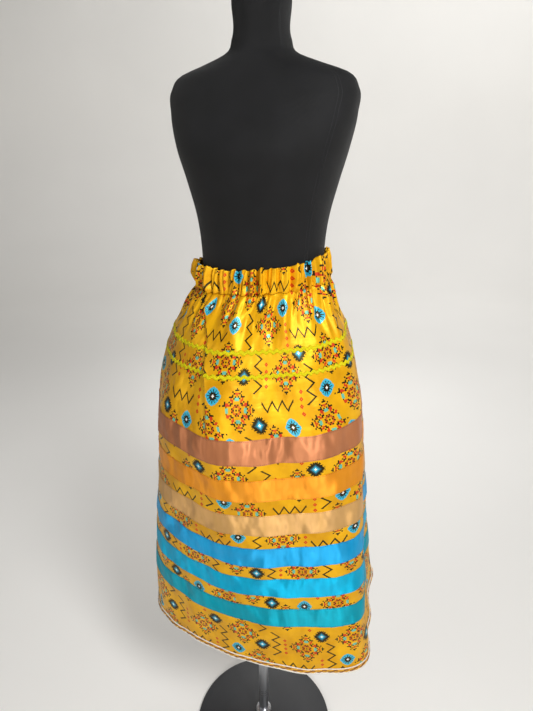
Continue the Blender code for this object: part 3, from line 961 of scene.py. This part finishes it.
def powder_coat():
    """Black powder coat: an even fine orange-peel, grains about 1 mm apart, rubbed here and there."""
    made, tree, shader = new_material("black powder coat", "#17181A", 0.42)
    place = add_node(tree, "ShaderNodeTexCoord", out="Object")
    peel = add_node(tree, "ShaderNodeTexNoise", {"Vector": place, "Scale": 900.0, "Detail": 2.0})
    wear = add_node(tree, "ShaderNodeTexNoise", {"Vector": place, "Scale": 14.0, "Detail": 5.0})
    ground = two_tone(tree, wear, 0.35, 0.7, (solid("#141517"), solid("#202124")))
    rubbed = add_node(tree, "ShaderNodeMapRange", [wear, 0.3, 0.7, 0.38, 0.5])
    grains = add_node(tree, "ShaderNodeBump", {"Height": peel, "Distance": 0.0001, "Strength": 0.5})
    feed(shader, {"Base Color": ground, "Roughness": rubbed, "Normal": grains})
    return made


def studio_paper(colour):
    """Matt seamless paper under the stand, with hardly any mottling."""
    made, tree, shader = new_material("matt studio paper", "#E4E2DE", 0.9)
    place = add_node(tree, "ShaderNodeTexCoord", out="Object")
    cloud = add_node(tree, "ShaderNodeTexNoise", {"Vector": place, "Scale": 0.6, "Detail": 3.0})
    lighter = [min(1.0, c * 1.05) for c in colour]
    feed(shader, {"Base Color": two_tone(tree, cloud, 0.3, 0.7, ((*colour, 1.0), (*lighter, 1.0)))})
    return made


def half_turns(side, count):
    """Columns of the front or the back, drawn in by 0.15 mm at the side seams."""
    gap = math.degrees(0.00015 / 0.2)
    if side == "front":
        return np.linspace(-SIDE_SEAM + gap, SIDE_SEAM - gap, count)
    return np.linspace(SIDE_SEAM + gap, 360.0 - SIDE_SEAM - gap, count)


def ring_turns(count):
    """Columns all round, beginning behind."""
    return -180.0 + 360.0 * np.arange(count) / count


def ribbon_rows(number):
    """Nine rows of a ribbon, and one close inside each edge to keep the edge crisp."""
    top = FIRST_RIBBON_DROP + number * RIBBON_PITCH
    rows = np.linspace(top, top + RIBBON_WIDTH, 9)
    return np.sort(np.append(rows, (rows[0] + 0.0003, rows[-1] - 0.0003)))


def panel_rows(casing_height):
    """Rows of a panel: 65 close together down to the first ribbon, then those of each ribbon.

    Four lie between two ribbons, and seventeen between the last ribbon and the hem.
    """
    rows = [np.linspace(casing_height + 0.0003, FIRST_RIBBON_DROP, 66)[:-1]]
    for number in range(len(RIBBON_NAMES)):
        ribbon = ribbon_rows(number)
        rows.append(ribbon[:-1])
        end = ribbon[0] + RIBBON_PITCH if number < len(RIBBON_NAMES) - 1 else SKIRT_LENGTH
        rows.append(np.linspace(ribbon[-1], end, 5 if end < SKIRT_LENGTH else 18)[:-1])
    rows.append([SKIRT_LENGTH])
    return np.concatenate(rows)


def casing_at(turns, drops, casing_height):
    """The casing: the form's point moved level, away from the pole's axis, by its puffs.

    The puffs are twice the gathers' waves times their rise, less the tucks, with a fine ripple
    over a small ease. The lowest part goes over into the panels' top by a smooth step. The
    upper edge waves up and down with the puffs, less and less below it.
    """
    turns, drops = np.broadcast_arrays(np.asarray(turns, float), np.asarray(drops, float))
    drop, wave_mm, roundness = columns(GATHER_WAVES)
    rise = gather_rise(turns, drops, np.interp(drops, drop, roundness))
    below = skirt_at(turns, drops)
    heights = below[..., 2]
    body = form_at(turns, heights)
    out = CASING_EASE + 2.0 * np.interp(drops, drop, wave_mm) / 1000.0 * rise
    out = out + RIPPLE * np.sin(np.radians(97 * turns) + 2.0 * np.sin(np.radians(7 * turns)))
    out = out - gather_split(turns, drops) / 1000.0
    for turn, width, size_mm in CASING_STANDS_OFF:
        out = out + size_mm / 1000.0 * bell(turned_from(turns, turn), width)
    close = body + np.maximum(out, CASING_LEAST)[..., None] * out_of_axis(body)
    share = share_of(drops, 0.55 * casing_height, casing_height)
    share = (share * share * (3.0 - 2.0 * share))[..., None]
    points = close * (1.0 - share) + below * share
    lift = (rise - 0.4) * (1.0 + 0.8 * by_gather(gather_phase(turns, drops), UNEVEN.lift))
    points[..., 2] = heights + TOP_EDGE * np.exp(-drops / TOP_EDGE_REACH) * lift
    return points


def ring_uv(turns, drops):
    """Cloth places for a closed ring, with its first column again at the end."""
    return cloth_uv(*np.broadcast_arrays(np.append(turns, turns[0] + 360.0)[None, :], drops))


def stitch_row(points, normals, pitch, length, thick):
    """Thread stitches along a path, a pitch apart: one capsule each, laid on the cloth.

    A capsule is four rings of four points. A ring stands at a share of half the length and is
    as wide as a share of half the thickness.
    """
    place = path_length(points)
    at = np.arange(pitch, place[-1], pitch)
    centre, after, out = (np.stack([np.interp(spots, place, axis) for axis in source.T], axis=-1)
                          for spots, source in ((at, points), (at + 0.0005, points), (at, normals)))
    along = after - centre
    along /= np.linalg.norm(along, axis=-1, keepdims=True)
    up = np.cross(out, along)
    share = np.array([-1.0, -0.62, 0.62, 1.0])
    girth = np.array([0.25, 1.0, 1.0, 0.25])
    angle = np.pi / 2 * np.arange(4)
    ring = (np.cos(angle)[:, None] * out[:, None] + np.sin(angle)[:, None] * up[:, None])[:, None]
    made = (centre[:, None, None] + share[None, :, None, None] * length / 2 * along[:, None, None]
            + girth[None, :, None, None] * thick / 2 * ring)
    return made + 0.15 * thick * out[:, None, None]


def capsules(name, rows, made_of):
    """One mesh of all the stitches in the rows: quads between their rings, and a quad at each end."""
    made = np.concatenate(rows)
    index = np.arange(made.shape[0] * 16).reshape(-1, 4, 4)
    after = np.roll(index, -1, axis=2)
    sides = np.stack([index[:, :-1], index[:, 1:], after[:, 1:], after[:, :-1]], axis=-1).reshape(-1, 4)
    ends = np.concatenate([index[:, 0, ::-1], index[:, -1]])[:, ::-1]
    return new_piece(name, made, np.concatenate([sides, ends]).tolist(), made_of)


class ClothSettings(bpy.types.PropertyGroup):
    """Sizes and colours of the skirt's cloth and trims."""

    thickness: bpy.props.FloatProperty(
        name="Cloth Thickness", description="Thickness of the satin", default=0.0008,
        min=0.0004, max=0.0012, unit="LENGTH")
    ribbon_thickness: bpy.props.FloatProperty(
        name="Ribbon Thickness", description="Thickness of the satin ribbons", default=0.0005,
        min=0.0002, max=0.0010, unit="LENGTH")
    casing_height: bpy.props.FloatProperty(
        name="Casing Height", description="Height of the gathered waist casing", default=0.045,
        min=0.03, max=0.06, unit="LENGTH")
    columns: bpy.props.IntProperty(
        name="Columns", description="Columns of the front and of the back panel", default=264,
        min=60, max=300)
    stitch_pitch: bpy.props.FloatProperty(
        name="Stitch Pitch", description="Distance from stitch to stitch", default=0.0040,
        min=0.002, max=0.01, unit="LENGTH")
    ground_dark: bpy.props.FloatVectorProperty(
        name="Satin", description="Ground colour of the printed satin", subtype="COLOR",
        default=linear("#CE9107"), min=0.0, max=1.0)
    # The lighter ground colour is partly random tone and partly painted sheen on the satin
    light_ground_and_painted_sheen: bpy.props.FloatVectorProperty(
        name="Satin Light", description="Lighter ground colour of the satin", subtype="COLOR",
        default=linear("#EBB012"), min=0.0, max=1.0)


class StageSettings(bpy.types.PropertyGroup):
    """The floor's colour and the strength of the lights."""

    paper: bpy.props.FloatVectorProperty(
        name="Paper", description="Colour of the studio paper", subtype="COLOR",
        default=linear("#F2F0EC"), min=0.0, max=1.0)
    key_power: bpy.props.FloatProperty(
        name="Key Light", description="Power of the large key light", default=48.0, min=0.0, unit="POWER")
    sheen_power: bpy.props.FloatProperty(
        name="Sheen Light", description="Power of the low light that the satin mirrors", default=10.0,
        min=0.0, unit="POWER")
    fill_power: bpy.props.FloatProperty(
        name="Fill Light", description="Power of the fill light", default=9.0, min=0.0, unit="POWER")
    back_power: bpy.props.FloatProperty(
        name="Back Light", description="Power of the light on the back of the skirt", default=14.0,
        min=0.0, unit="POWER")
    paper_power: bpy.props.FloatProperty(
        name="Paper Light", description="Power of the light on the paper behind", default=150.0,
        min=0.0, unit="POWER")
    world_strength: bpy.props.FloatProperty(
        name="Room Light", description="Strength of the even light all round", default=0.10, min=0.0)


class SKIRT_OT_panels(bpy.types.Operator):
    """Make the printed front and back panels."""

    bl_idname = "ribbon_skirt.panels"
    bl_label = "Panels"

    def execute(self, context):
        size = context.scene.skirt_cloth
        drops = panel_rows(size.casing_height)[:, None]
        satin = printed_satin([(*size.ground_dark, 1.0), (*size.light_ground_and_painted_sheen, 1.0)])
        for side in ("front", "back"):
            turns = half_turns(side, size.columns)[None, :]
            centre = 0.0 if side == "front" else 180.0
            uv = cloth_uv(*np.broadcast_arrays(turns, drops), centre)
            panel = grid_piece("cloth_" + side, skirt_at(turns, drops), satin, uv)
            add_wall(panel, size.thickness)
            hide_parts("skirt_" + side)
        return {"FINISHED"}


class SKIRT_OT_casing(bpy.types.Operator):
    """Make the gathered waist casing."""

    bl_idname = "ribbon_skirt.casing"
    bl_label = "Waist Casing"

    def execute(self, context):
        size = context.scene.skirt_cloth
        turns = ring_turns(GATHERS * 22)
        drops = np.linspace(0.0, size.casing_height, 26)[:, None]
        points = casing_at(turns[None, :], drops, size.casing_height)
        satin = bpy.data.materials["printed polyester satin"]
        casing = grid_piece("cloth_casing", points, satin, ring_uv(turns, drops), closed=(False, True))
        add_wall(casing, size.thickness)
        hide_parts("waist_casing")
        return {"FINISHED"}


class SKIRT_OT_ribbons(bpy.types.Operator):
    """Sew the six satin ribbons on, front and back."""

    bl_idname = "ribbon_skirt.ribbons"
    bl_label = "Ribbons"

    def execute(self, context):
        size = context.scene.skirt_cloth
        for number, colour in enumerate(RIBBON_NAMES):
            *tones, darker = RIBBON_COLOURS[colour]
            satin = ribbon_satin("satin ribbon " + colour.replace("_", " "), tones)
            # The thread is darker in its grooves, as painted shade
            thread = twisted_thread("sewing thread " + colour.replace("_", " "), (darker, tones[0]))
            drops = ribbon_rows(number)[:, None]
            share = ((drops - drops[0]) / RIBBON_WIDTH)[..., None]
            lift = 0.00025 + size.ribbon_thickness + 0.0002 * np.sin(np.pi * share)
            stitches = []
            for side in ("front", "back"):
                turns = half_turns(side, size.columns)[None, :]
                points = skirt_at(turns, drops) + lift * out_of_cloth(turns, drops)
                uv = cloth_uv(*np.broadcast_arrays(turns, drops))
                ribbon = grid_piece("satin_%s_%s" % (colour, side), points, satin, uv)
                add_wall(ribbon, size.ribbon_thickness)
                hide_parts("ribbon_%s_%s" % (colour, side))
                for inside in (0.0018, RIBBON_WIDTH - 0.0018):
                    line = skirt_at(turns[0], drops[0] + inside)
                    out = out_of_cloth(turns[0], drops[0] + inside)
                    line = line + out * (0.00035 + size.ribbon_thickness)
                    stitches.append(stitch_row(line, out, size.stitch_pitch, 0.0030, 0.0006))
            sewn = capsules("stitches_" + colour, stitches, thread)
        return {"FINISHED"}


class SKIRT_OT_rickrack(bpy.types.Operator):
    """Lay the two lines of rickrack on the gathered cloth."""

    bl_idname = "ribbon_skirt.rickrack"
    bl_label = "Rickrack"

    def execute(self, context):
        # The darker olive falls in the braid's grooves: painted shade
        braid = braid_cotton(("#A09600", "#F2E200"))
        # The braid across: shares of its half width, and millimetres off the cloth
        profile = np.array([(-1.0, 0.25), (-0.8, 0.95), (0.0, 1.25), (0.8, 0.95), (1.0, 0.25), (0.0, 0.2)])
        for number, (drop, waves) in enumerate(((0.138, 84), (0.178, 92)), start=1):
            turns = ring_turns(waves * 14)
            centre = drop + 0.0017 * np.sin(np.radians(waves * turns))
            drops = centre[None, :] + 0.0035 * profile[:, :1]
            level = np.broadcast_to(turns, drops.shape)
            lift = profile[:, 1, None, None] / 1000.0
            points = skirt_at(level, drops) + out_of_cloth(level, drops) * lift
            rows = np.vstack([drops, drops[:1]])
            rows = np.hstack([rows, rows[:, :1]])
            uv = cloth_uv(np.broadcast_to(np.append(turns, 180.0), rows.shape), rows)
            piece = grid_piece("braid_%d" % number, points, braid, uv, closed=(True, True))
            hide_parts("rickrack_%d_front" % number, "rickrack_%d_back" % number)
        return {"FINISHED"}


class SKIRT_OT_hem(bpy.types.Operator):
    """Finish the hem: a facing, a white line, a rope stitch and a white rolled edge."""

    bl_idname = "ribbon_skirt.hem"
    bl_label = "Hem"

    def execute(self, context):
        # The facing's lighter gold, in upright streaks, is partly painted sheen
        satin = ribbon_satin("gold hem facing", ("#F2AC12", "#FFC024"))
        # Each thread's darker colour falls in its grooves as painted shade
        white = twisted_thread("white edge thread", ("#D9D3C4", "#FFFDF6"))
        ropes = (twisted_thread("brown rope thread", ("#7C430A", "#A5651A")),
                 twisted_thread("gold rope thread", ("#D89A1C", "#F2BE3A")))
        for side in ("front", "back"):
            turns = half_turns(side, 264)[None, :]
            low, high = SKIRT_LENGTH - 0.0015, SKIRT_LENGTH - 0.0140
            drops = np.array([high, high + 0.0003, (low + high) / 2, low - 0.0003, low])[:, None]
            points = skirt_at(turns, drops) + 0.0008 * out_of_cloth(turns, drops)
            uv = cloth_uv(*np.broadcast_arrays(turns, drops))
            facing = grid_piece("hem_facing_" + side, points, satin, uv)
            add_wall(facing, 0.0005)
            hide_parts("hem_band_" + side)
        for name, up, radius, lift in (("hem_white_line", 0.0138, 0.0013, 0.0012),
                                       ("hem_white_edge", 0.0012, 0.0020, 0.0008)):
            turns = ring_turns(520)
            centres = skirt_at(turns, SKIRT_LENGTH - up)
            outs = out_of_cloth(turns, SKIRT_LENGTH - up)
            tube_piece(name, centres + lift * outs, outs, radius, 8, white)
        turns = ring_turns(1400)
        centres = skirt_at(turns, SKIRT_LENGTH - 0.0076)
        outs = out_of_cloth(turns, SKIRT_LENGTH - 0.0076)
        along = path_length(centres)
        twists = round(along[-1] / 0.026)
        for strand in (0, 1):
            phase = np.radians(twists * turns) + math.pi * strand
            path = centres + outs * (0.0018 + 0.0007 * np.cos(phase))[:, None]
            path = path + (0.0024 * np.sin(phase))[:, None] * np.array([0.0, 0.0, 1.0])
            strands = tube_piece("hem_rope_%d" % (strand + 1), path, outs, 0.0012, 6, ropes[strand])
        return {"FINISHED"}


class SKIRT_OT_form(bpy.types.Operator):
    """Make the jersey torso, its neck cap and its seams."""

    bl_idname = "ribbon_skirt.form"
    bl_label = "Dress Form"

    def execute(self, context):
        jersey = black_jersey()
        low, high = FORM_SECTIONS[0][0], FORM_SECTIONS[-1][0]
        heights = np.linspace(high, low, 130)[:, None]
        points = form_at(ring_turns(160)[None, :], heights)
        torso = grid_piece("jersey_torso", points, jersey, closed=(False, True), capped=True)
        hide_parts("form_torso")
        radius, top, bottom = CAP_BOX[1][0], CAP_BOX[1][2], CAP_BOX[0][2]
        dome = ((0.03, 1.0), (0.40, 0.99), (0.72, 0.88), (0.90, 0.60), (0.98, 0.28), (1.0, 0.0))
        profile = [(radius * wide, bottom + (top - bottom) * up) for wide, up in dome]
        cap = turned_piece("jersey_neck_cap", profile, jersey)
        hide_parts("form_neck_cap")
        seams = []
        for turn in (58.0, -122.0):
            heights = np.linspace(high - 0.002, WAIST_HEIGHT + 0.01, 400)
            for aside in (-1.6, 1.6):
                line = form_at(turn + aside, heights)
                out = out_of_axis(line)
                seams.append(stitch_row(line + 0.0002 * out, out, 0.0042, 0.0032, 0.0007))
        thread = twisted_thread("black seam thread", ("#1A1A1E", "#2A2A30"))
        capsules("jersey_seam_stitches", seams, thread)
        return {"FINISHED"}


class SKIRT_OT_stand(bpy.types.Operator):
    """Make the steel pole, its socket and the round foot."""

    bl_idname = "ribbon_skirt.stand"
    bl_label = "Stand"

    def execute(self, context):
        steel = brushed_steel()
        radius, low, high = POLE_BOX[1][0], POLE_BOX[0][2], POLE_BOX[1][2]
        pole = turned_piece("steel_pole", [(radius, z) for z in np.linspace(high, low, 24)], steel)
        radius, low, high = SOCKET_BOX[1][0], SOCKET_BOX[0][2], SOCKET_BOX[1][2]
        outline = [(POLE_BOX[1][0] + 0.0003, high), (radius, high), (radius, low)]
        socket = turned_piece("steel_socket", rounded(outline, 0.003), steel)
        radius, low, high = FOOT_BOX[1][0], FOOT_BOX[0][2], FOOT_BOX[1][2]
        outline = [(radius * 0.2, high), (radius, high), (radius, low), (radius * 0.9, low)]
        foot = turned_piece("painted_foot", rounded(outline, 0.0035), powder_coat())
        for piece, node, slot in ((pole, "stand_pole", "stand_steel"),
                                  (socket, "stand_socket", "stand_steel"),
                                  (foot, "stand_foot", "stand_paint")):
            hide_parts(node)
        return {"FINISHED"}


class SKIRT_OT_stage(bpy.types.Operator):
    """Set the paper, the lights and the camera."""

    bl_idname = "ribbon_skirt.stage"
    bl_label = "Stage"

    def execute(self, context):
        size = context.scene.skirt_stage
        bend = np.radians(np.linspace(90.0, 0.0, 24))
        profile = [(7.0, 5.0)] + [(5.0 + 2.0 * math.sin(a), 2.0 - 2.0 * math.cos(a)) for a in bend]
        profile = [(radius, height - 0.0005) for radius, height in profile + [(0.05, 0.0)]]
        paper = turned_piece("studio_paper", profile, studio_paper(size.paper), capped=False)
        paper.parent = None
        del paper["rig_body"]
        for name, place, wide, power, aim in (
                ("key", (1.35, -1.15, 2.45), 0.7, size.key_power, (0.0, 0.0, 0.95)),
                ("sheen", (0.80, -2.2, 0.95), 0.4, size.sheen_power, (0.0, 0.0, 0.8)),
                ("fill", (-1.7, -1.7, 1.7), 0.9, size.fill_power, (0.0, 0.0, 0.95)),
                ("back", (-0.7, 2.3, 1.7), 1.0, size.back_power, (0.0, 0.0, 0.85)),
                ("paper", (0.0, 3.0, 4.7), 3.0, size.paper_power, (0.0, 6.5, 1.2))):
            light = bpy.data.lights.new(name, "AREA")
            light.shape = "DISK"
            light.size = wide
            light.energy = power
            lamp = bpy.data.objects.new(name + "_light", light)
            lamp.location = place
            lamp.rotation_euler = (Vector(aim) - Vector(place)).to_track_quat("-Z", "Y").to_euler()
            lamp.visible_camera = False
            context.scene.collection.objects.link(lamp)
        world = bpy.data.worlds.new("even room light")
        world.use_nodes = True
        world.node_tree.nodes["Background"].inputs["Strength"].default_value = size.world_strength
        world.node_tree.nodes["Background"].inputs["Color"].default_value = (1.0, 1.0, 1.0, 1.0)
        context.scene.world = world
        context.scene.view_settings.view_transform = "Standard"
        turn, tilt = math.radians(CAMERA_TURN), math.radians(CAMERA_TILT)
        level = Vector((-math.sin(turn), math.cos(turn), 0.0))
        aside = Vector((math.cos(turn), math.sin(turn), 0.0))
        view = bpy.data.cameras.new("photo_view")
        view.sensor_width = 36.0
        view.lens = FOCAL_PIXELS / PHOTO_HEIGHT * view.sensor_width
        camera = bpy.data.objects.new("photo_view", view)
        camera.location = aside * CAMERA_ASIDE - level * CAMERA_DISTANCE + Vector((0.0, 0.0, CAMERA_HEIGHT))
        ahead = level * math.cos(tilt) - Vector((0.0, 0.0, math.sin(tilt)))
        camera.rotation_euler = ahead.to_track_quat("-Z", "Y").to_euler()
        context.scene.collection.objects.link(camera)
        context.scene.camera = camera
        return {"FINISHED"}


class SKIRT_PT_sidebar(bpy.types.Panel):
    """Lists the skirt's sizes, colours and steps."""

    bl_label = "Ribbon Skirt"
    bl_idname = "SKIRT_PT_sidebar"
    bl_space_type = "VIEW_3D"
    bl_region_type = "UI"
    bl_category = "Ribbon Skirt"

    def draw(self, context):
        for settings in (context.scene.skirt_cloth, context.scene.skirt_stage):
            for name in settings.__annotations__:
                self.layout.prop(settings, name)
        for step in STEPS:
            self.layout.operator(step.bl_idname)


STEPS = (SKIRT_OT_panels, SKIRT_OT_casing, SKIRT_OT_ribbons, SKIRT_OT_rickrack, SKIRT_OT_hem,
         SKIRT_OT_form, SKIRT_OT_stand, SKIRT_OT_stage)
CLASSES = (ClothSettings, StageSettings, *STEPS, SKIRT_PT_sidebar)


def register():
    """Add the classes and the settings to the scene."""
    for made in CLASSES:
        bpy.utils.register_class(made)
    bpy.types.Scene.skirt_cloth = bpy.props.PointerProperty(type=ClothSettings)
    bpy.types.Scene.skirt_stage = bpy.props.PointerProperty(type=StageSettings)


def unregister():
    """Take them away again, last first."""
    del bpy.types.Scene.skirt_stage
    del bpy.types.Scene.skirt_cloth
    for made in reversed(CLASSES):
        bpy.utils.unregister_class(made)


def main():
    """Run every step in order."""
    register()
    for step in STEPS:
        group, name = step.bl_idname.split(".")
        getattr(getattr(bpy.ops, group), name)()


if __name__ == "__main__":
    main()
